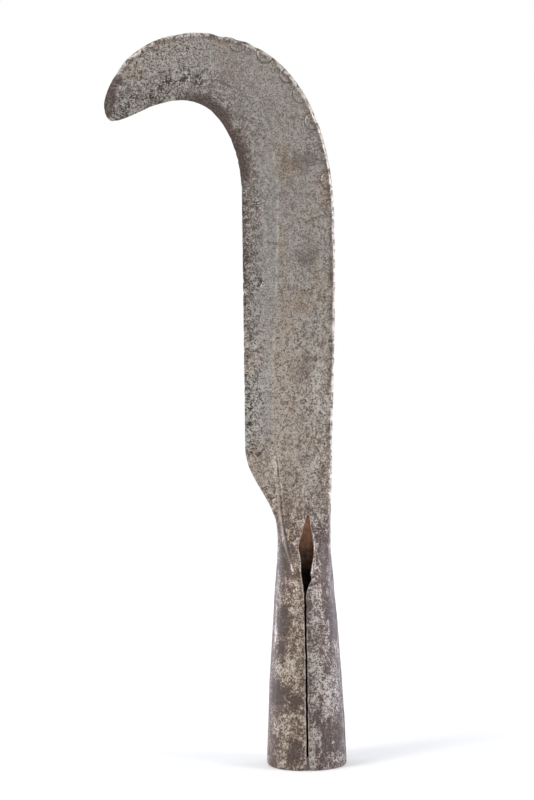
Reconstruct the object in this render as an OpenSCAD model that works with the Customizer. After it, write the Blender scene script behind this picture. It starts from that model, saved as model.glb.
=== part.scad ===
// Socketed billhook head: a forged iron blade with a steel cutting edge let into it, its root welded into
// an iron socket that is rolled up from plate and left open along a front seam.
// The origin is the centre of the socket's mouth. +Z runs up the socket's axis to the hook, -X points to the
// cutting edge, and -Y to the face that shows the seam.

/* [Overall] */
// Length from the socket's mouth to the top of the hook
overall_len = 400; // [380:1:430]
// Distance from the socket's axis to the foremost point of the hook
hook_reach = 106; // [100:1:115]

/* [Socket] */
// Diameter of the bore that takes the handle
bore_d = 37; // [34:0.5:39]
// Wall of the socket at its mouth
mouth_wall = 3.3; // [2.6:0.1:4.5]
// Length of the parallel stretch of the bore at the mouth
bore_parallel = 16; // [10:1:24]
// Height at which the taper of the bore ends in a dome
bore_depth = 112; // [106:1:114]
// Height of the dome that ends the bore
dome_h = 14; // [10:0.5:16]
// Wall of the socket at the upper end of the bore
throat_wall = 3.6; // [3:0.1:5]
// Rounding of the outer rim at the mouth
rim_round = 1.8; // [0.6:0.1:2.4]
// Width of the open seam
seam_gap = 0.9; // [0.6:0.1:1.6]
// Rounding of the two corners of the seam at the mouth
seam_corner = 2; // [1:0.1:4]
// Width of the opening between the lips of the plate at the throat
vee_w = 8.6; // [6:0.2:10]
// Height of the lower end of that opening
vee_low = 94; // [88:1:100]
// Height of the upper end of that opening
vee_top = 135.5; // [132:0.5:140]
// Sideways lean of its pointed upper end towards the spine
vee_lean = 2.3; // [0:0.1:3]

/* [Neck] */
// Width of the neck, where the socket is narrowest
neck_w = 28.8; // [27:0.2:32]
// Height of the narrowest place
neck_z = 119; // [115:1:122]
// Height of the weld where the lap of the socket ends on the blade
weld_z = 146; // [144:1:152]
// Thickness of the socket's lap at the weld
lap_t = 0.8; // [0.5:0.1:1.2]
// Thickness of the sleeve around the root of the blade
sleeve_t = 3.6; // [2.6:0.1:4.2]
// Length of the blade's root below the weld
root_len = 40; // [34:1:44]
// Width of the root at its lower end
root_end_w = 10; // [7:0.5:13]
// Thickness of the root at its lower end
root_end_t = 3.6; // [2.4:0.1:4.4]
// Distance of the root's lower end behind the socket's axis
root_end_y = 5.5; // [4:0.1:6.5]
// Length of the narrow neck, up to the start of the flare towards the heel
neck_len = 8; // [5:0.5:11]
// Length below the neck over which the round socket flattens
flat_len = 31; // [25:1:36]
// Thickness of the neck's front side below the flare
side_t = 10; // [7:0.5:12]
// Distance of the arris from the neck's front side
neck_arris = 4.4; // [3:0.2:6]

/* [Blade] */
// Distance from the socket's axis to the straight cutting edge
edge_x = 31.4; // [28:0.2:36]
// Distance from the socket's axis to the spine at the heel
spine_heel_x = 16; // [15:0.2:20]
// Distance from the socket's axis to the spine where the hook starts to bend
spine_bend_x = 18.4; // [16:0.2:22]
// Height of the heel, where the cutting edge starts
heel_z = 172; // [166:1:182]
// Height of the straight edge's end, below the top of the hook
bend_drop = 89; // [84:1:96]
// Thickness of the spine at the heel
spine_t = 5.2; // [4:0.1:6.5]
// Thickness of the spine at the crown of the hook
crown_t = 4; // [3:0.1:5]
// Thickness at the nose of the hook
nose_t = 2.8; // [2.2:0.1:4]
// Chamfer along the spine
spine_chamfer = 1.3; // [0.4:0.1:1.6]
// Distance of the blade's middle plane behind the socket's axis
blade_y = 2; // [0:0.1:3]

/* [Hook] */
// Distance from the socket's axis to the top of the hook
crown_x = 57.3; // [52:0.1:62]
// Width of the hook at its top, from the cutting edge to the outer edge
hook_w = 36.8; // [32:0.2:40]
// Distance from the straight cutting edge to the deepest place of the hook's curve
throat_w = 32.6; // [28:0.2:36]
// Drop of the nose below the top of the hook
nose_drop = 39.8; // [37:0.2:43]
// Drop of the lowest place of the tip below the top of the hook
tip_drop = 47.8; // [45:0.2:51]
// Distance of that lowest place behind the nose
tip_back = 4.5; // [3:0.1:7]
// Drop of the tip's shoulder, on the outer edge, below the top of the hook
shoulder_drop = 20.2; // [17:0.2:24]
// Distance of that shoulder behind the nose
shoulder_back = 7.8; // [5:0.1:11]

/* [Steel edge] */
// Width of the steel strip along the lower blade
steel_low_w = 15; // [12:0.2:18]
// Width of the steel strip in the bend
steel_bend_w = 19.5; // [16:0.2:21]
// Thickness of the cutting edge
edge_t = 0.6; // [0.4:0.1:1]
// Depth of the cleft in the iron that holds the strip
cleft_depth = 6; // [3:0.2:8]
// Thickness of the strip at the bottom of the cleft
tongue_t = 0.9; // [0.6:0.1:1.4]

/* [Hidden] */
$fn = 96;

// Outline of the socket and the neck
mouth_r = bore_d / 2 + mouth_wall;
taper_power = 1.35;              // above 1, so that the mouth is nearly parallel and the throat draws in
neck_top = neck_z + neck_len;
flat_start = neck_z - flat_len;  // the round socket starts to flatten here
flat_end = mix(neck_z, heel_z, 0.92);
square_start = mix(flat_start, neck_z, 0.4);  // the round section starts to flatten here
square_end = mix(neck_z, heel_z, 0.8);

// Places on the hook, as [x, z]
bend_z = overall_len - bend_drop;
crown_in = [-(edge_x + throat_w), overall_len - hook_w];
crown_out = [-crown_x, overall_len];
under_tip = [-(hook_reach - tip_back), overall_len - tip_drop];
shoulder = [-(hook_reach - shoulder_back), overall_len - shoulder_drop];
nose = [-hook_reach, overall_len - nose_drop];
nose_end = 0.88;                 // share of the nose's curves that is drawn, which leaves a small flat

// Share of the blade's thickness that is left at the arris, and the swell of the bevel
arris_share = 0.86;
bevel_swell = 0.2;
// Largest share of the blade's width that the strip and its cleft take near the tip
strip_share = 0.5;
cleft_share = 0.18;
// Angles of the edge, arris and spine corners on the round section
edge_angle = 176;
arris_angle = 133;
spine_angles = [24, 8];
// Steps along the bevel and the face of a section
bevel_steps = 4;
face_steps = 12;

// Heights on the root of the blade
root_z = weld_z - root_len;
root_mid_z = mix(weld_z, root_z, 0.4);
// Lips of the opening at the throat, each as [share of its height, share of its half width]
lip_left = [[0, 0], [0.12, 0.16], [0.25, 0.42], [0.42, 0.5], [0.6, 0.95], [0.82, 0.45], [1, 0.04]];
lip_right = [[0, 0], [0.1, 0.35], [0.19, 0.8], [0.26, 0.55], [0.5, 1], [0.62, 0.92], [0.82, 0.46], [1, 0.04]];
// Height at which the taper of the bore steepens
bore_mid_z = mix(bore_parallel, bore_depth, 0.52);
// Distance by which cuts run past a surface
overrun = 1;

function mix(a, b, f) = a + (b - a) * f;
function clamp(f) = max(0, min(1, f));
function ease(f) = let (c = clamp(f)) c * c * (3 - 2 * c);
function ease_between(z, z0, z1) = ease((z - z0) / (z1 - z0));
function curve(p, t) =
    pow(1 - t, 3) * p[0] + 3 * t * pow(1 - t, 2) * p[1] + 3 * t * t * (1 - t) * p[2] + pow(t, 3) * p[3];

// A station is [edge point, spine point, thickness, middle y, edge thickness, arris distance, squareness].
// The points are [x, z], and a squareness of 0 is the round socket and 1 the blade.

// Stations of the socket and the neck, by height
function half_width(z) = mix(mouth_r, neck_w / 2, pow(clamp(z / neck_z), taper_power));
function side_x(z) = -mix(half_width(z), edge_x, ease_between(z, neck_top, heel_z));
function spine_x(z) = mix(half_width(z), spine_heel_x, ease_between(z, neck_z, heel_z));
function front_y(z) = mix(-half_width(z), blade_y - spine_t / 2, ease_between(z, flat_start, flat_end));
function back_y(z) = mix(half_width(z), blade_y + spine_t / 2, ease_between(z, flat_start, flat_end));
function low_station(z) = [
    [side_x(z), z],
    [spine_x(z), z],
    back_y(z) - front_y(z),
    (back_y(z) + front_y(z)) / 2,
    mix(side_t, edge_t, ease_between(z, neck_top, heel_z)),
    mix(neck_arris, steel_low_w, ease_between(z, neck_top, heel_z)),
    ease_between(z, square_start, square_end)
];

// Stations of the blade, by the share t of one of its four stretches
function blade_station(e, s, t0, t1, t, strip) =
    let (w = norm(s - e))
    [e, s, mix(t0, t1, t), blade_y, edge_t, min(strip, strip_share * w), 1];
spine_curve = [
    [spine_heel_x, heel_z],
    [spine_heel_x + 1.5, mix(heel_z, bend_z, 0.29)],
    [spine_bend_x + 2.1, mix(heel_z, bend_z, 0.77)],
    [spine_bend_x, bend_z]
];
function straight_station(t) =
    let (s = curve(spine_curve, t))
    blade_station([-edge_x, s[1]], s, spine_t, mix(spine_t, crown_t, 0.5), t,
                  mix(steel_low_w, steel_bend_w, ease((t - 0.3) / 0.7)));
// A curve from p to q whose handles are shares of the way between them: a at p and b at q, each as [x, z]
function swing(p, q, a, b) = [
    p,
    p + [(q[0] - p[0]) * a[0], (q[1] - p[1]) * a[1]],
    q - [(q[0] - p[0]) * b[0], (q[1] - p[1]) * b[1]],
    q
];
bend_in = swing([-edge_x, bend_z], crown_in, [0, 0.47], [0.69, 0]);
bend_out = swing([spine_bend_x, bend_z], crown_out, [0.04, 0.5], [0.7, 0]);
function bend_station(t) =
    blade_station(
        curve(bend_in, t), curve(bend_out, t), mix(spine_t, crown_t, 0.5), crown_t, t, steel_bend_w);
hook_in = swing(crown_in, under_tip, [0.42, 0], [0.23, 0]);
hook_out = swing(crown_out, shoulder, [0.37, 0], [0.2, 0.64]);
function hook_station(t) =
    blade_station(curve(hook_in, t), curve(hook_out, t), crown_t, nose_t, t, steel_bend_w);
nose_in = swing(under_tip, nose, [0.49, 0], [0, 0.56]);
nose_out = swing(shoulder, nose, [0.4, 0.25], [0, 0.36]);
function nose_station(t) =
    blade_station(curve(nose_in, t), curve(nose_out, t), nose_t, nose_t, t, steel_bend_w);

straight_steps = 8;
bend_steps = 18;
hook_steps = 8;
nose_steps = 5;
heel_gap = 0.2;  // height of the iron's step at the heel, on which the strip stands
blade_stations = concat(
    [straight_station(heel_gap / (bend_z - heel_z))],
    [for (i = [1:straight_steps]) straight_station(i / straight_steps)],
    [for (i = [1:bend_steps]) bend_station(i / bend_steps)],
    [for (i = [1:hook_steps]) hook_station(i / hook_steps)],
    [for (i = [1:nose_steps]) nose_station(nose_end * i / nose_steps)]
);

// Half sections, as [distance from the edge, y from the middle plane]. The side is -1 in front and 1 behind.
function width(st) = norm(st[1] - st[0]);
function chamfer(st) = min(spine_chamfer, st[2] * 0.3, width(st) * 0.12);
function cleft(st) = min(cleft_depth, cleft_share * width(st));
function bevel(st, side) = [
    for (i = [0:bevel_steps - 1]) let (f = i / bevel_steps)
        [st[5] * f, side * (mix(st[4], st[2] * arris_share, f) / 2 + bevel_swell * 4 * f * (1 - f))]
];
function cleft_wall(st, side) = [
    for (i = [0:bevel_steps - 1]) let (f = i / bevel_steps)
        [st[5] + cleft(st) * (1 - f), side * mix(tongue_t, st[2] * arris_share, f) / 2]
];
function arris(st, side) = [st[5], side * st[2] * arris_share / 2];
function face(st, side) = concat(
    [for (i = [0:face_steps]) let (f = i / face_steps)
        [mix(st[5], width(st) - chamfer(st), f), side * mix(arris_share, 1, f) * st[2] / 2]],
    [[width(st), side * (st[2] / 2 - chamfer(st))]]
);
function round_angles() = concat(
    [for (i = [0:bevel_steps - 1]) mix(edge_angle, arris_angle, i / bevel_steps)],
    [for (i = [0:face_steps]) mix(arris_angle, spine_angles[0], i / face_steps)],
    [spine_angles[1]]
);
function round_half(st, side) = [
    for (a = round_angles()) [width(st) / 2 * (1 + cos(a)), side * st[2] / 2 * sin(a)]
];
function half_section(st, side) =
    let (flat = concat(bevel(st, side), face(st, side)), bowed = round_half(st, side))
    [for (i = [0:len(flat) - 1]) mix(bowed[i], flat[i], st[6])];

// Rings in space, anticlockwise as seen from the hook
function reverse(list) = [for (i = [len(list) - 1:-1:0]) list[i]];
function place(st, points) =
    let (along = (st[1] - st[0]) / width(st))
    [for (p = points) [st[0][0] + along[0] * p[0], st[3] + p[1], st[0][1] + along[1] * p[0]]];
function whole_ring(st) = place(st, concat(half_section(st, -1), reverse(half_section(st, 1))));
function cleft_ring(st) = place(st, concat(
    cleft_wall(st, -1), face(st, -1), reverse(face(st, 1)), reverse(cleft_wall(st, 1))));
function strip_ring(st) = place(st, concat(
    bevel(st, -1), [arris(st, -1)], reverse(cleft_wall(st, -1)),
    cleft_wall(st, 1), [arris(st, 1)], reverse(bevel(st, 1))));
// The ring of a station drawn in by t all round
function inset_ring(st, t) =
    let (ring = whole_ring(st),
         c = [(st[0][0] + st[1][0]) / 2, st[3], st[0][1]],
         k = [1 - 2 * t / width(st), 1 - 2 * t / st[2], 1])
    [for (p = ring) [for (i = [0:2]) c[i] + (p[i] - c[i]) * k[i]]];

// A closed skin over rings. The flag turns the diagonals, so that two skins can share a face.
module loft(rings, turned = false) {
    n = len(rings[0]);
    last = (len(rings) - 1) * n;
    sides = [
        for (i = [0:len(rings) - 2], j = [0:n - 1])
            let (a = i * n + j, b = i * n + (j + 1) % n, c = b + n, d = a + n)
            each (turned ? [[a, d, b], [b, d, c]] : [[a, c, b], [a, d, c]])
    ];
    caps = [[for (j = [0:n - 1]) j], [for (j = [n - 1:-1:0]) last + j]];
    polyhedron([for (ring = rings) each ring], concat(sides, caps), convexity = 6);
}

// Root of the blade: a wedge that fills the sleeve at the weld and runs out at the back of the bore
root_end = [
    [-root_end_w / 2, root_z], [root_end_w / 2, root_z],
    root_end_t, root_end_y, root_end_t / 2, neck_arris / 2, 0.5
];
root_rings = [
    whole_ring(root_end),
    inset_ring(low_station(root_mid_z), sleeve_t),
    inset_ring(low_station(weld_z), lap_t)
];
neck_steps = 10;

// Iron back, web and hook of the blade, drawn out at its lower end into the root
module blade_body() {
    color("#7d7570")
    loft(concat(
        root_rings,
        [for (i = [0:neck_steps]) whole_ring(low_station(mix(weld_z, heel_z, i / neck_steps)))],
        [for (st = blade_stations) cleft_ring(st)]
    ));
}

// Steel strip, wedged into the iron's cleft and ground to the cutting edge
module steel_edge() {
    color("#8f8d8b")
    loft([for (st = blade_stations) strip_ring(st)], turned = true);
}

// Outer skin of the socket, with its rim rounded at the mouth
rim_steps = 4;
socket_steps = 22;
function rim_ring(a) =
    let (z = rim_round * (1 - cos(a)), r = half_width(z) - rim_round * (1 - sin(a)))
    whole_ring([[-r, z], [r, z], 2 * r, 0, 0, 0, 0]);
module socket_skin() {
    loft(concat(
        [for (i = [0:rim_steps - 1]) rim_ring(90 * i / rim_steps)],
        [for (i = [0:socket_steps]) whole_ring(low_station(mix(rim_round, weld_z, i / socket_steps)))]
    ));
}

// Hollow for the handle
module socket_bore() {
    mid_r = half_width(bore_mid_z) - (mouth_wall + throat_wall) / 2;
    end_r = -front_y(bore_depth) - throat_wall;
    dome = [for (a = [0:22.5:90]) [end_r * cos(a), bore_depth + dome_h * sin(a)]];
    rotate_extrude()
    polygon(concat(
        [[0, -overrun], [bore_d / 2, -overrun], [bore_d / 2, bore_parallel], [mid_r, bore_mid_z]], dome));
}

// Open seam with rounded corners at the mouth, and the opening between the lips at the throat
module seam_cut() {
    g = seam_gap / 2;
    corner = [for (a = [90:-15:0]) [g + seam_corner * (1 - cos(a)), seam_corner * (1 - sin(a))]];
    left_corner = [for (p = reverse(corner)) [-p[0], p[1]]];
    slit_low = g + seam_corner;
    lip = function (points, side)
        [for (p = points)
            [side * mix(g, vee_w / 2, p[1]) + vee_lean * p[0] * p[0], mix(vee_low, vee_top, p[0])]];
    rotate([90, 0, 0])
    linear_extrude(height = 2 * mouth_r)
    polygon(concat(
        [[-slit_low, -overrun], [slit_low, -overrun]], corner,
        lip(lip_right, 1), reverse(lip(lip_left, -1)), left_corner));
}

// Iron plate rolled round the root of the blade and closed to an open-seamed cone
module socket() {
    pocket_top = [for (p = root_rings[2]) p + [0, 0, overrun]];
    color("#6b5348")
    difference() {
        socket_skin();
        socket_bore();
        seam_cut();
        loft(concat(root_rings, [pocket_top]));
    }
}

blade_body();
steel_edge();
socket();
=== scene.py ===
import math
import bmesh
import bpy
import numpy
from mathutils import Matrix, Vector, geometry, kdtree, noise


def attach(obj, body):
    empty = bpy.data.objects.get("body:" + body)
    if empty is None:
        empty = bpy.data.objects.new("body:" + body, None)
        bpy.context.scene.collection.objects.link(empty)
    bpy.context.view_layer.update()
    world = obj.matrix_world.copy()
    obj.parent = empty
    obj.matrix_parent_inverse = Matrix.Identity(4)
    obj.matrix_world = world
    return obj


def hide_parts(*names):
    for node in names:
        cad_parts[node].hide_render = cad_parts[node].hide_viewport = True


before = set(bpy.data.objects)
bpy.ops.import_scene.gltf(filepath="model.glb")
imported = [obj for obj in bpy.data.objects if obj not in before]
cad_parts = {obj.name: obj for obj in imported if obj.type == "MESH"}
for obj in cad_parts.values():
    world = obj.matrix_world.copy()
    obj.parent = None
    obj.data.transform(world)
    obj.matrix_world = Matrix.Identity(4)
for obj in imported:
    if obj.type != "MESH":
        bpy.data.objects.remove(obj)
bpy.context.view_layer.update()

# Blade body: the iron back, web and hook, with the neck and the root that the socket is rolled round.
# A smith drew it out and hammered it by hand, so no face is quite flat. Years of rust have pitted it,
# and a row of half-moon punch marks follows the spine on the front.
mm = 0.001
blade_mid_y = 2 * mm
blade_foot = 165 * mm
heel_z = 172 * mm
root_top = 145.4 * mm

# Outlines and worked lines, seen from the front, as chains of curves with x and z in millimetres
cutting_edge = [
    [(-31.4, 172), (-31.4, 220), (-31.4, 265), (-31.4, 311)],
    [(-31.4, 311), (-31.4, 335.5), (-41.5, 363.2), (-64, 363.2)],
    [(-64, 363.2), (-79.8, 363.2), (-92.9, 352.2), (-101.5, 352.2)],
]
spine = [
    [(16, 172), (17.5, 212), (20.5, 279), (18.4, 311)],
    [(18.4, 311), (15.4, 355.5), (-4.3, 400), (-57.3, 400)],
    [(-57.3, 400), (-72.4, 400), (-90, 392.7), (-98.2, 379.8)],
]
neck_arris = [
    [(-16.4, 174), (-14, 156), (-13.6, 139), (-11.2, 124)],
    [(-11.2, 124), (-10, 117), (-8, 111), (-6.2, 106)],
]
left_lip = [[(-0.4, 127), (-1.2, 135), (-1.2, 142), (-0.7, 151)]]
right_lip = [[(3.9, 130), (4.4, 135), (5.2, 140), (5.8, 146)]]
curve_steps = 120


def drawn(curves):
    """Points along a chain of curves, each given by its ends and handles."""
    points = []
    for curve in curves:
        start, out, back, end = (Vector((x * mm, 0, z * mm)) for x, z in curve)
        points += geometry.interpolate_bezier(start, out, back, end, curve_steps)
    return points


def finder(points):
    """A search tree that finds the nearest of the points."""
    tree = kdtree.KDTree(len(points))
    for i, point in enumerate(points):
        tree.insert(point, i)
    tree.balance()
    return tree


def distance(tree, co):
    """How far a point lies from a drawn line, seen from the front."""
    return tree.find(Vector((co.x, 0, co.z)))[2]


edge_points = drawn(cutting_edge)
edge_line = finder(edge_points)
spine_points = drawn(spine)
spine_line = finder(spine_points)
arris_line = finder(drawn(neck_arris))
lip_lines = finder(drawn(left_lip) + drawn(right_lip))

# Half-moon punch marks, open towards the spine, by the x and z of their centres in millimetres
mark_centres = [
    (-32.3, 393.7), (-17.4, 387.5), (-5.3, 376.4), (1.6, 365.4), (8, 350.6), (13.2, 333.6),
    (16.3, 318.3), (17.7, 303), (18, 287), (18, 271), (17.6, 255), (17, 240), (16.3, 225.6),
    (15.9, 213.6), (15.5, 197), (15, 180)]
mark_radius = 4.8 * mm
mark_depth = 0.34 * mm
mark_width = 0.6 * mm
clear_marks_z = 285 * mm
mark_fade = 30 * mm
mark_steps = 24
marks = []
for x, z in mark_centres:
    centre = Vector((x * mm, 0, z * mm))
    which = spine_line.find(centre)[1]
    along = (spine_points[which + 2] - spine_points[which - 2]).normalized()
    inward = Vector((-along.z, 0, along.x))
    for i in range(mark_steps + 1):
        turn = math.pi * i / mark_steps
        marks.append(centre + (inward * math.sin(turn) + along * math.cos(turn)) * mark_radius)
mark_lines = finder(marks)

# Deep rust pits in a row across the hook, along the edge and on the socket, as x, z and radius in millimetres
deep_pits = [
    (-90, 365, 2.4), (-93.3, 360.7, 2.2), (-79.6, 366.5, 2.6), (-75.2, 369.2, 2.2), (-70.8, 373.5, 2.6),
    (-63.7, 373.4, 2.4), (-60.4, 376.1, 2.2), (-53.3, 373.2, 2.8), (-22.6, 305.2, 2), (-21.6, 263, 2.4),
    (-30.1, 200.6, 2), (-27.9, 195.1, 1.8), (-28.6, 184.7, 2), (-20.4, 150.8, 2.2), (-17.2, 145.3, 1.8),
    (-6.9, 99.9, 1.2), (-7, 87.4, 1.2)]
pit_depth = 0.45 * mm
pit_tops = finder([Vector((x * mm, 0, z * mm)) for x, z, _ in deep_pits])


def ahead(co):
    """How far a point lies in front of the middle of the head."""
    return blade_mid_y * min(1, co.z / heel_z) - co.y


def front(co):
    return ahead(co) > 0


def deep_pit(co):
    """1 in the middle of a deep pit and 0 outside it, with a ragged rim."""
    if not front(co):
        return 0
    _, which, away = pit_tops.find(Vector((co.x, 0, co.z)))
    rim = deep_pits[which][2] * mm * (1 + 0.9 * noise.noise(co / (1.4 * mm)))
    return max(0, 1 - away / rim) if rim > 0 else 0


# The ridge of the neck, the groove and the hollow beside it and the creases at its lips, in millimetres
neck_foot = 96
neck_top = 178
ridge_foot = 103
ridge_foot_fade = 16
ridge_top_fade = 14
ridge_height = 0.3
groove_depth = 0.36
hollow_depth = 0.9
crease_depth = 0.26


def bell(value, middle, half):
    """1 in the middle, falling smoothly to nothing on both sides."""
    return math.exp(-((value - middle) / half) ** 2)


def beside_ridge(co):
    """Millimetres from the neck's ridge, less than 0 on the side of the cutting edge."""
    point, _, away = arris_line.find(Vector((co.x, 0, co.z)))
    return math.copysign(away, co.x - point.x) / mm


def ridge_fade(co):
    """1 along the middle of the neck's ridge, fading out at both its ends."""
    z = co.z / mm
    from_top = min(1, max(0, (neck_top - z) / ridge_top_fade))
    from_foot = min(1, max(0, (z - ridge_foot) / ridge_foot_fade))
    return from_top * from_foot


def on_neck(co):
    return front(co) and neck_foot * mm < co.z < neck_top * mm


def scored(co):
    """Height of what the smith's hammer left on the neck: the ridge, the hollow and the closed lips."""
    if not on_neck(co):
        return 0
    side = beside_ridge(co)
    ridge = (ridge_height * bell(side, 0, 0.7) - groove_depth * bell(side, 1.3, 0.8)) * ridge_fade(co)
    hollow = hollow_depth * bell(side, 4.5, 2.8) * bell(co.z / mm, 118, 13)
    lips = crease_depth * bell(distance(lip_lines, co) / mm, 0, 0.8)
    return (ridge - hollow - lips) * mm * min(1, ahead(co) / (2 * mm))


# Dents that knocks have left in the outline of the back, as x, z, half length and depth in millimetres
dents = [
    (-42, 397.5, 5, 1.1), (-33, 395, 3.5, 0.8), (-23, 391, 4, 0.4), (-85, 387, 5, 0.5), (-97, 377, 4, 0.6),
    (-66, 399, 6, 0.3), (9, 352, 4, 0.4), (18.5, 290, 5, 0.4), (18, 250, 4, 0.3)]
dent_reach = 6 * mm


def dented(co):
    """Shift of a point near a dent in the outline, towards the middle of the blade."""
    _, which, away = spine_line.find(Vector((co.x, 0, co.z)))
    if co.z < blade_foot or away > dent_reach:
        return Vector()
    along = spine_points[min(which + 2, len(spine_points) - 1)] - spine_points[max(which - 2, 0)]
    inward = Vector((-along.z, 0, along.x)).normalized()
    depth = 0
    for x, z, half, deepest in dents:
        apart = (co.x - x * mm) ** 2 + (co.z - z * mm) ** 2
        depth += deepest * mm * math.exp(-apart / (half * mm) ** 2 * 2)
    return inward * depth


blade_grain = 1.5 * mm
weld_reach = 0.002 * mm
split_rounds = 7
detail_reach = 1.4 * mm


def fine_skin(node, grain, finer):
    """A copy of a CAD node, split until no edge is longer than the grain, or a third of it where finer."""
    bm = bmesh.new()
    bm.from_mesh(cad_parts[node].data)
    bmesh.ops.remove_doubles(bm, verts=bm.verts, dist=weld_reach)
    for _ in range(split_rounds):
        long = [e for e in bm.edges if e.calc_length() > grain
                or e.calc_length() > grain / 3 and finer((e.verts[0].co + e.verts[1].co) / 2)]
        bmesh.ops.subdivide_edges(bm, edges=long, cuts=1, use_single_edge=True)
        larger = [f for f in bm.faces if len(f.verts) > 3]
        bmesh.ops.triangulate(bm, faces=larger, quad_method="SHORT_EDGE")
    return bm


def has_detail(co):
    """Whether a mark, the neck's ridge or a lip is so near that the faces there are split finer."""
    if not front(co):
        return False
    nearest = min(distance(mark_lines, co), distance(arris_line, co) - mm, distance(lip_lines, co))
    return nearest < detail_reach


def rub_smooth(bm, verts):
    bmesh.ops.smooth_vert(bm, verts=verts, factor=0.5, use_axis_x=True, use_axis_y=True, use_axis_z=True)


def soften(bm, turns, pinned):
    """Wears the corners round, apart from the edges that the pieces share."""
    held = {v for e in bm.edges if pinned(e) for v in e.verts}
    free = [v for v in bm.verts if v not in held]
    for _ in range(turns):
        rub_smooth(bm, free)


round_top = 100 * mm
flattening = 70 * mm


def outward(co):
    """The way a blow sinks in or a scale stands proud: square to the blade, and radial on the socket."""
    flat = min(1, max(0, (co.z - round_top) / flattening))
    flat = flat * flat * (3 - 2 * flat)
    return Vector((co.x * (1 - flat), co.y - blade_mid_y * flat, 0)).normalized()


def hammered(co):
    """Height of the hammered surface, from broad blows down to the small unevenness of old iron."""
    broad = noise.noise(co / (17 * mm)) * 0.2 * mm
    blows = (noise.voronoi(co / (11 * mm))[0][0] - 0.35) * 0.2 * mm
    fine = noise.noise(co / (3.2 * mm)) * 0.07 * mm
    patch = max(0, noise.noise(co / (22 * mm)) + 0.15)
    pits = patch * max(0, 0.34 - noise.voronoi(co / (3.4 * mm))[0][0]) * 0.5 * mm
    return broad + blows + fine - pits


crease_angle = math.radians(60)
fold_angle = math.radians(168)


def is_crease(edge):
    return edge.calc_face_angle(0) > crease_angle


# Patches of rust and wear, as x, z, half width and half height in millimetres
tan_spots = [
    (-26, 165, 7, 12), (-5, 324, 9, 6), (4, 176, 6, 9), (13, 158, 4, 12), (-8.6, 333, 6, 4),
    (-10.4, 284, 3.5, 9), (-1, 252.5, 6, 8), (-41, 394, 7, 3.5), (-91, 379, 9, 7), (14, 312, 4, 14)]
brown_spots = [
    (-103, 363, 5.5, 11), (-12, 81, 5, 12), (-9, 38, 9, 7), (-6, 10, 8, 7), (-16, 41, 5, 9),
    (-11, 112, 4, 14), (-13, 62, 4, 8), (-99, 374, 5, 4)]
maroon_spots = [
    (12.5, 81, 6, 15), (9.5, 104, 5, 9), (12.7, 18, 9, 12), (5, 12, 6, 6), (12, 54, 4, 5),
    (11, 116, 5, 12), (2, 328, 11, 8), (3, 276, 8, 7), (3, 215, 8, 10), (10.5, 160, 3, 9),
    (7.5, 127, 4, 8), (-5.5, 121, 3, 11)]
silver_spots = [
    (5.4, 81, 4, 7), (6.7, 54, 6, 8), (7.5, 34, 6, 12), (14.7, 40, 4, 12), (-3.7, 89, 3.5, 14),
    (-7.4, 62, 5, 9), (-11.9, 52, 6, 6), (-11, 23, 6, 7), (-6.2, 108, 2, 4), (9, 136, 4, 9),
    (10, 200, 8, 24), (8, 160, 6, 12)]
bend_spots = [(-42, 344, 32, 34)]
pit_spots = [(x, z, radius * 1.2, radius * 1.2) for x, z, radius in deep_pits]
patches = {
    "tanned": tan_spots, "browned": brown_spots, "dulled": maroon_spots, "rubbed": silver_spots,
    "in_bend": bend_spots, "pit_zone": pit_spots}
farthest_share = 3

# The relief takes no more than this share of half the blade's thickness, so the thin edge isn't pierced
relief_share = 0.6


def measured(bm):
    """Notes on each point where it lies and what pit, mark or ridge is there, then gives it its relief."""
    layers = bm.verts.layers.float
    from_edge, from_spine, punched, pit, ridge, shadowed = (
        layers.new(name) for name in ("from_edge", "from_spine", "punched", "pit", "ridge", "shadowed"))
    x, z = (numpy.array([v.co[axis] for v in bm.verts]) / mm for axis in (0, 2))
    for name, spots in patches.items():
        away = layers.new(name)
        shares = [numpy.hypot((x - spot[0]) / spot[2], (z - spot[1]) / spot[3]) for spot in spots]
        for v, share in zip(bm.verts, numpy.min(shares, axis=0)):
            v[away] = min(share, farthest_share)
    for v in bm.verts:
        v[from_edge] = distance(edge_line, v.co)
        v[from_spine] = distance(spine_line, v.co)
        v[pit] = deep_pit(v.co)
        if on_neck(v.co):
            # Along the neck's ridge the shader paints a highlight on top and painted shade just beside it
            clear = ridge_fade(v.co) * (0.7 + 0.8 * noise.noise(v.co / (4 * mm)))
            v[ridge] = clear * bell(beside_ridge(v.co), 0, 0.5)
            v[shadowed] = clear * bell(beside_ridge(v.co), 1, 0.5)
        if front(v.co) and v.co.z > blade_foot:
            clear = 0.5 + 0.5 * min(1, max(0, (v.co.z - clear_marks_z) / mark_fade))
            v[punched] = clear * bell(distance(mark_lines, v.co), 0, mark_width)
        lift = hammered(v.co) + scored(v.co) - v[punched] * mark_depth - v[pit] * pit_depth
        if v.co.z > blade_foot:
            room = relief_share * abs(v.co.y - blade_mid_y)
            lift = max(-room, min(room, lift))
        v.co += outward(v.co) * lift + dented(v.co)


unfold_rounds = 4


def unfold(bm):
    """Smooths out the few stray folds that the dents leave."""
    for _ in range(unfold_rounds):
        folded = {v for e in bm.edges if e.calc_face_angle(0) > fold_angle for v in e.verts}
        rub_smooth(bm, [v for v in bm.verts if v in folded])


def finished_piece(name, bm, node, material):
    """The piece that stands for a CAD node, with its sharp creases kept."""
    for face in bm.faces:
        face.smooth = True
    for edge in bm.edges:
        edge.smooth = not is_crease(edge)
    mesh = bpy.data.meshes.new(name)
    bm.to_mesh(mesh)
    bm.free()
    mesh.materials.append(material)
    piece = bpy.data.objects.new(name, mesh)
    bpy.context.scene.collection.objects.link(piece)
    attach(piece, "root")
    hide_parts(node)


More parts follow.
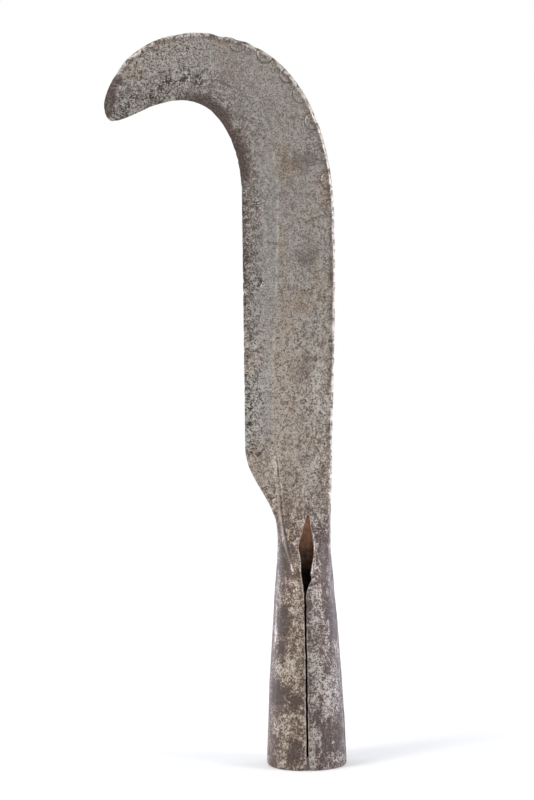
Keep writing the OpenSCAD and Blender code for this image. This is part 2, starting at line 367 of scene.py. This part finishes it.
class Field:
    """A socket of a material. Sums on it add Math nodes, and node() adds a node of any other kind."""

    def __init__(self, socket):
        self.socket = socket

    def node(self, kind, settings=(), sockets=(), output=0):
        tree = self.socket.id_data
        made = tree.nodes.new("ShaderNode" + kind)
        for name, value in dict(settings).items():
            setattr(made, name, value)
        for key, value in dict(sockets).items():
            if isinstance(value, Field):
                tree.links.new(value.socket, made.inputs[key])
            else:
                made.inputs[key].default_value = value
        return Field(made.outputs[output]) if made.outputs else None

    def sum(self, operation, a, b):
        return self.node("Math", {"operation": operation}, {0: a, 1: b})

    def __add__(self, other):
        return self.sum("ADD", self, other)

    def __radd__(self, other):
        return self.sum("ADD", other, self)

    def __sub__(self, other):
        return self.sum("SUBTRACT", self, other)

    def __rsub__(self, other):
        return self.sum("SUBTRACT", other, self)

    def __mul__(self, other):
        return self.sum("MULTIPLY", self, other)

    def __rmul__(self, other):
        return self.sum("MULTIPLY", other, self)


def rises(field, low, high):
    """0 below low and 1 above high, or the other way round where low is the larger."""
    return field.node("MapRange", {"interpolation_type": "SMOOTHSTEP"},
                      {"Value": field, "From Min": low, "From Max": high})


def noted(place, name):
    """A value that was noted on the points of the mesh."""
    return place.node("Attribute", {"attribute_name": name}, (), 2)


def shade(mask, under, over):
    """The colour under, with the colour over laid on it where the mask is 1."""
    return mask.node("Mix", {"data_type": "RGBA"}, {0: mask, 6: under, 7: over}, 2)


def cloud(place, size, detail=2, stretch=(1, 1, 1)):
    """Noise with blotches of about that size in metres, drawn out where the stretch is above 1."""
    drawn_out = place.node("Mapping", {}, {"Vector": place, "Scale": tuple(1 / s for s in stretch)})
    return place.node("TexNoise", {}, {
        "Vector": drawn_out, "Scale": 0.5 / size, "Detail": detail, "Roughness": 0.65})


def tone(red, green, blue):
    """A colour as it shows in a picture, made linear."""
    return tuple(((c / 255 + 0.055) / 1.055) ** 2.4 for c in (red, green, blue)) + (1,)


def new_finish(name):
    """A material and its Object coordinates."""
    material = bpy.data.materials.new(name)
    material.use_nodes = True
    material.node_tree.nodes.clear()
    return material, Field(material.node_tree.nodes.new("ShaderNodeTexCoord").outputs["Object"])


iron_grey = tone(160, 153, 147)
iron_warm = tone(177, 165, 154)
# Dark of rust pits and grain, also used as painted shade beside the neck's ridge
dark_pit_and_shade = tone(58, 51, 46)
pale_grey = tone(186, 180, 173)
cool_grey = tone(174, 173, 171)
# Bright bare metal of wear, also used for painted highlights on the neck's ridge, the lips and the spine
worn_silver_and_highlight = tone(212, 205, 198)
dull_silver = tone(194, 184, 180)
warm_silver = tone(188, 170, 150)
mauve = tone(132, 119, 114)
mauve_dark = tone(98, 87, 81)
tan_rust = tone(152, 130, 108)
beige = tone(192, 174, 158)
rust_brown = tone(66, 45, 37)
skin_brown = tone(94, 66, 50)
skin_maroon = tone(92, 69, 68)
maroon = tone(78, 61, 60)
# Colours of the socket's inside: painted shade deep down, and rust with painted light near the top of the
# throat
inner_shade = tone(50, 34, 26)
inner_lit_rust = tone(172, 124, 92)


def old_iron(name, upper, lower):
    """Rusted and rubbed forged iron: mottled ground, grain, pits, bright flecks and brown patches, and
    painted highlights and shade on ridges, lips, the spine and inside the socket.
    """
    material, place = new_finish(name)
    across = place.node("SeparateXYZ", {}, {0: place}, 0)
    up = place.node("SeparateXYZ", {}, {0: place}, 2)
    edge_away = noted(place, "from_edge")
    spine_away = noted(place, "from_spine")
    punched = noted(place, "punched")
    pit = noted(place, "pit")
    inside = noted(place, "inside")

    broad = cloud(place, 15 * mm, 2)
    patch = cloud(place, 7 * mm, 4)
    blotch = cloud(place, 3.2 * mm, 4)
    grit = cloud(place, 1.5 * mm, 3)
    pepper = cloud(place, 0.5 * mm, 2)
    fine = cloud(place, 0.3 * mm, 0)
    wear = cloud(place, 2.8 * mm, 6, (1, 1, 3))
    comb = cloud(place, 1.0 * mm, 3, (3, 1, 0.8))
    ragged = (blotch - 0.5) * 1.6 + (wear - 0.5) * 1.2

    def in_patches(patch_name):
        """1 inside the patches of that name, with a ragged rim."""
        return rises(noted(place, patch_name) + ragged, 1.1, 0.45)

    # Where on the head a point lies
    low = rises(up, 285 * mm, 200 * mm)
    socketed = rises(up, 165 * mm, 122 * mm)
    hooked = rises(across, -34 * mm, -58 * mm)
    at_edge = rises(edge_away, 13 * mm, 1.5 * mm) * (1 - socketed) * (1 - hooked * 0.8)
    mid_blade = rises(up, 200 * mm, 275 * mm)
    arris_away = edge_away - (15 * mm + rises(up, 172 * mm, 311 * mm) * 4.5 * mm)
    low_spine = rises(across, -8 * mm, 10 * mm) * low * rises(up, 112 * mm, 138 * mm)
    rubbed = in_patches("rubbed")
    dull = in_patches("dulled")
    browned = in_patches("browned")

    # Ground of the blade and of the socket
    colour = shade(low, upper, lower)
    colour = shade(rises(patch * 0.6 + blotch * 0.4, 0.48, 0.6) * 0.6, colour, mauve)
    colour = shade(rises(broad * 0.6 + wear * 0.4, 0.48, 0.62) * (0.3 + low * 0.35), colour, tan_rust)
    warm = rises(arris_away, -0.5 * mm, 1.5 * mm) * rises(arris_away, 17 * mm, 6 * mm) * low
    colour = shade(warm * 0.4, colour, beige)
    colour = shade(in_patches("tanned") * 0.5, colour, tan_rust)
    right_side = rises(across, -4 * mm, 6 * mm)
    paler = rises(blotch * 0.6 + grit * 0.4, 0.44, 0.6) * 0.4
    skin = shade(right_side, shade(paler, skin_brown, tan_rust), shade(paler, skin_maroon, mauve))
    colour = shade(socketed, colour, skin)
    colour = shade(dull * (0.32 + socketed * 0.4), colour, maroon)
    colour = shade(browned * 0.85, colour, rust_brown)

    # Bright places that handling has rubbed through the skin
    limb = rises(place.sum("ABSOLUTE", across, 0) + up * 0.075, 14 * mm, 20 * mm)
    rubbing = wear * 0.6 + grit * 0.2 + pepper * 0.2
    rubbing = rubbing + rubbed * 0.05 - dull * 0.05 - browned * 0.03 - limb * 0.05
    worn = rises(rubbing, 0.465, 0.57) * socketed
    flecked = rises(wear * 0.5 + pepper * 0.5 + rubbed * 0.04, 0.53, 0.58) * low_spine
    colour = shade(worn * 0.75, colour, shade(right_side, warm_silver, dull_silver))
    colour = shade(flecked * 0.75, colour, worn_silver_and_highlight)

    # The ground strip, cooler and smoother along its inner side
    on_blade = rises(up, 172 * mm, 190 * mm) * rises(up, 352 * mm, 325 * mm)
    ground = rises(edge_away, 7 * mm, 12 * mm) * rises(arris_away, 0.4 * mm, -0.8 * mm) * on_blade
    colour = shade(ground * 0.3, colour, cool_grey)

    # Rust along the cutting edge
    in_bend = rises(noted(place, "in_bend"), 1.1, 0.75)
    bend_rust = in_bend * rises(edge_away + ragged * 2.5 * mm, 8 * mm, 4 * mm)
    combed = rises(comb + at_edge * 0.12, 0.54, 0.68) * rises(edge_away, 13 * mm, 3 * mm) * mid_blade
    eaten = place.sum("MAXIMUM", bend_rust, combed * 0.65)
    at_lip = rises(edge_away + ragged * 1.5 * mm, 4.5 * mm, 1 * mm) * mid_blade * (1 - hooked)
    colour = shade(at_edge * (0.14 + mid_blade * 0.16) + at_lip * 0.3, colour, rust_brown)
    colour = shade(eaten * 0.85, colour, rust_brown)

    # Grain and pits
    mottle = blotch * 0.5 + grit * 0.5
    grain = fine * 0.25 + pepper * 0.55 + grit * 0.2
    coarse = 0.7 + hooked * 0.3 + at_edge * 0.3 + low * 0.15 + worn * 0.35 - ground * 0.1
    colour = shade(rises(mottle, 0.5, 0.36) * (0.35 + low * 0.2), colour, mauve_dark)
    colour = shade(rises(grain, 0.56, 0.35) * coarse, colour, dark_pit_and_shade)
    clean = (1 - eaten * 0.85) * (1 - browned * 0.75) * (1 - dull * 0.6)
    bright = rises(grain * 0.7 + mottle * 0.3, 0.47, 0.62) * (coarse - socketed * 0.3) * clean
    colour = shade(bright, colour, pale_grey)
    pit_zone = in_patches("pit_zone")
    roughened = hooked * 0.03 + at_edge * (0.03 + mid_blade * 0.03) + low_spine * 0.02 + worn * 0.04
    dark = rises(pepper * 0.5 + grit * 0.5 - roughened - pit_zone * 0.11, 0.43, 0.36)
    depth = 0.2 + pit_zone * 0.5 + at_edge * 0.5 + hooked * 0.25 + low_spine * 0.15 + worn * 0.4
    colour = shade(dark * depth, colour, dark_pit_and_shade)
    colour = shade(pit_zone * rises(grain, 0.5, 0.6) * 0.6, colour, worn_silver_and_highlight)
    colour = shade(pit * 0.4, colour, dark_pit_and_shade)
    colour = shade(punched * 0.65, colour, dark_pit_and_shade)

    # Ridges and rims: a painted highlight on the neck's ridge with painted shade beside it, wear and a
    # painted highlight along the arris and the spine, and a darker rim inside the spine
    # The arris: worn bright, with a painted highlight along it
    arris = rises(place.sum("ABSOLUTE", arris_away, 0), 1.2 * mm, 0.2 * mm) * on_blade
    colour = shade(arris * rises(blotch, 0.42, 0.58) * 0.4, colour, worn_silver_and_highlight)
    # Along the spine: a darker rim inside, then a bright line of wear with a painted highlight on the edge
    rim = rises(spine_away, 4.5 * mm, 2 * mm) * (1 - socketed)
    colour = shade(rim * rises(blotch, 0.4, 0.56) * 0.55, colour, rust_brown)
    crown = rises(up, 335 * mm, 375 * mm)
    spine_wear_and_highlight = rises(spine_away - crown * 1.1 * mm, 1.6 * mm, 0.9 * mm) * rises(grit, 0.44, 0.56)
    colour = shade(spine_wear_and_highlight * (1 - socketed) * 0.7, colour, worn_silver_and_highlight)
    # Painted shade beside the neck's ridge and a painted highlight on its top
    colour = shade(noted(place, "shadowed") * 0.8, colour, dark_pit_and_shade)
    colour = shade(noted(place, "ridge") * 0.45, colour, worn_silver_and_highlight)
    # A painted highlight along the V's lips
    colour = shade(noted(place, "lip_highlight") * rises(blotch, 0.36, 0.54) * 0.65, colour, worn_silver_and_highlight)
    # Inside the socket and on the hidden root: painted shade low down, turning to rust with painted light
    # towards the top of the throat
    lit = rises(up + (grit - 0.5) * 0.05, 96 * mm, 138 * mm)
    colour = shade(inside, colour, shade(lit, inner_shade, inner_lit_rust))

    rusty = browned * 0.4 + eaten * 0.5 + dark * 0.4 + inside + socketed * (1 - worn) * 0.5
    height = blotch * 0.5 + grit * 0.4 + pepper * 0.25 - dark * 0.35 - eaten * 0.2 + worn * 0.15
    height = height * (1 - socketed * 0.4)
    bump = place.node("Bump", {}, {"Strength": 1.0, "Distance": 0.28 * mm, "Height": height})
    shader = place.node("BsdfPrincipled", {}, {
        "Base Color": colour, "Roughness": 0.44 + rusty * 0.22, "Metallic": 0.75 - rusty * 0.5,
        "Normal": bump, "Coat Weight": 0.2 * socketed, "Coat Roughness": 0.3})
    place.node("OutputMaterial", {}, {"Surface": shader})
    return material


blade = fine_skin("blade_body", blade_grain, has_detail)
soften(blade, 3, is_crease)
measured(blade)
unfold(blade)
inside = blade.verts.layers.float.new("inside")
for v in blade.verts:
    v[inside] = 1 if v.co.z < root_top else 0
blade_iron = old_iron("blade_iron", iron_grey, iron_warm)
finished_piece("blade_forging", blade, "blade_body", blade_iron)

# Steel edge: the strip of steel that is fire-welded into a cleft along the concave side and ground thin.
# The stone left it smoother and greyer than the iron, and rust has eaten brown streaks in from the edge.
# Its foot is closed down on to the iron at the heel, so that no light shows through the weld.
edge_grain = 1.25 * mm
nick_depth = 0.7 * mm
nick_reach = 2.4 * mm
nick_length = 3.2 * mm
nick_from = 0.12
foot_end = 172.6 * mm
foot_closing = 0.22 * mm
steel_grey = tone(142, 137, 133)
steel_pale = tone(171, 166, 161)
strip = fine_skin("steel_edge", edge_grain, lambda co: False)
soften(strip, 3, is_crease)
measured(strip)
for v in strip.verts:
    _, which, away = edge_line.find(Vector((v.co.x, 0, v.co.z)))
    if away < nick_reach and which + 1 < len(edge_points):
        along = edge_points[which + 1] - edge_points[which]
        if along.length > 0:
            inward = Vector((along.z, 0, -along.x)).normalized()
            nick = max(0, noise.noise(edge_points[which] / nick_length) - nick_from)
            v.co += inward * nick * nick_depth * (1 - away / nick_reach)
for v in strip.verts:
    if v.co.z < foot_end:
        v.co.z -= foot_closing
edge_steel = old_iron("edge_steel", steel_grey, steel_pale)
finished_piece("cutting_strip", strip, "steel_edge", edge_steel)

# Socket: an iron plate rolled hot round the root and closed to a cone, with its two lips left apart in front.
# The slit between them wanders a little. Handling has rubbed silver streaks through the brown skin, and the
# inside is bare rust, coloured with painted shade low down and painted light near the top of the throat.
socket_grain = 1.5 * mm
lip_foot = 4 * mm
lip_top = 142 * mm
throat_top = 145 * mm
slit_top = 100 * mm
slit_reach = 6 * mm
slit_wander = 0.5 * mm
slit_raggedness = 0.3 * mm
corner_width = 1.1 * mm
corner_height = 4 * mm
rolled = fine_skin("socket", socket_grain, has_detail)
# The lips' front corners along the V, where the shader paints a highlight
lip_highlight = rolled.verts.layers.float.new("lip_highlight")
for edge in rolled.edges:
    if is_crease(edge) and all(front(v.co) and lip_foot < v.co.z < lip_top for v in edge.verts):
        for v in edge.verts:
            v[lip_highlight] = 1
soften(rolled, 5, lambda e: is_crease(e) and e.verts[0].co.z > throat_top)
measured(rolled)
rolled.normal_update()
inside = rolled.verts.layers.float.new("inside")
for v in rolled.verts:
    if v.co.z < throat_top and v.normal.dot(Vector((v.co.x, v.co.y, 0)).normalized()) < -0.2:
        v[inside] = 1
for v in rolled.verts:
    if front(v.co) and abs(v.co.x) < slit_reach and v.co.z < slit_top:
        fade = 1 - abs(v.co.x) / slit_reach
        wander = noise.noise(Vector((0, 0, v.co.z)) / (13 * mm)) * slit_wander
        ragged = noise.noise(v.co / (2.6 * mm)) * slit_raggedness
        corner = corner_width * max(0, 1 - v.co.z / corner_height) ** 2
        v.co.x += (wander + ragged) * fade + math.copysign(corner * fade, v.co.x)
socket_iron = old_iron("socket_iron", iron_grey, iron_warm)
finished_piece("rolled_socket", rolled, "socket", socket_iron)

# Studio: a pale floor under the head and a white surround, with large soft lamps at the sides.
# The floor glows a little more with the distance, so that it runs into the white and keeps the shadow.
floor_half = 6
floor_white = (0.93, 0.93, 0.93, 1)
cool_light = (0.72, 0.8, 1)
floor_mesh = bmesh.new()
bmesh.ops.create_grid(floor_mesh, x_segments=1, y_segments=1, size=floor_half)
floor_data = bpy.data.meshes.new("floor")
floor_mesh.to_mesh(floor_data)
floor_mesh.free()
floor = bpy.data.objects.new("floor", floor_data)
bpy.context.scene.collection.objects.link(floor)
floor_paint, place = new_finish("floor_paint")
seen = place.node("LightPath", {}, (), "Is Camera Ray")
painted = place.node("BsdfDiffuse", {}, {"Color": floor_white})
away = place.node("VectorMath", {"operation": "LENGTH"}, {0: place}, 1)
glow = place.node("Emission", {}, {"Color": seen * (0.1 + rises(away, 0.25, 1.1) * 0.42), "Strength": 1})
both = place.node("AddShader", {}, {0: painted, 1: glow})
both.node("OutputMaterial", {}, {"Surface": both})
floor_data.materials.append(floor_paint)

world = bpy.data.worlds.new("studio")
world.use_nodes = True
world.node_tree.nodes.clear()
toward = Field(world.node_tree.nodes.new("ShaderNodeTexCoord").outputs["Generated"])
camera_ray = toward.node("LightPath", {}, (), "Is Camera Ray")
glossy_ray = toward.node("LightPath", {}, (), "Is Glossy Ray")
depth = toward.node("SeparateXYZ", {}, {0: toward}, 1)
room = 0.5 + rises(depth, -0.9, 0.0) * 0.5
level = camera_ray + (1 - camera_ray) * (glossy_ray * room + (1 - glossy_ray) * 0.55)
sky = toward.node("Background", {}, {"Color": level, "Strength": 1})
sky.node("OutputWorld", {}, {"Surface": sky})
bpy.context.scene.world = world


def soft_lamp(name, spot, aim, size, power, colour=(1, 1, 1)):
    lamp = bpy.data.lights.new(name, "AREA")
    lamp.shape = "DISK"
    lamp.size = size
    lamp.energy = power
    lamp.color = colour
    stand = bpy.data.objects.new(name, lamp)
    stand.location = spot
    stand.rotation_euler = (Vector(aim) - Vector(spot)).to_track_quat("-Z", "Y").to_euler()
    bpy.context.scene.collection.objects.link(stand)


middle = Vector((-0.02, 0, 0.2))
soft_lamp("left_lamp", (-0.9, -0.7, 0.8), middle, 0.6, 9)
soft_lamp("right_lamp", (1.0, -0.5, 0.6), middle, 0.6, 6)
soft_lamp("left_rim_lamp", (-0.7, 0.45, 0.2), middle, 0.5, 3.2, cool_light)
soft_lamp("right_rim_lamp", (0.8, 0.45, 0.25), middle, 0.5, 3.2, cool_light)

# Camera: level with the middle of the head and turned a little, because the head leans in the picture.
pixel = 0.5453 * mm
picture = (534, 800)
mouth_pixel = (307.1, 764)
lean = 0.0136
reach_pixels = 2000
right = picture[0] / 2 - mouth_pixel[0]
above = mouth_pixel[1] - picture[1] / 2
camera_data = bpy.data.cameras.new("camera")
camera_data.sensor_fit = "VERTICAL"
camera_data.sensor_height = 36
camera_data.lens = 36 * reach_pixels / picture[1]
camera = bpy.data.objects.new("camera", camera_data)
camera.location = ((right + above * lean) * pixel, -reach_pixels * pixel, (above - right * lean) * pixel)
camera.rotation_euler = (math.pi / 2, lean, 0)
bpy.context.scene.collection.objects.link(camera)
bpy.context.scene.camera = camera
bpy.context.scene.view_settings.view_transform = "Standard"
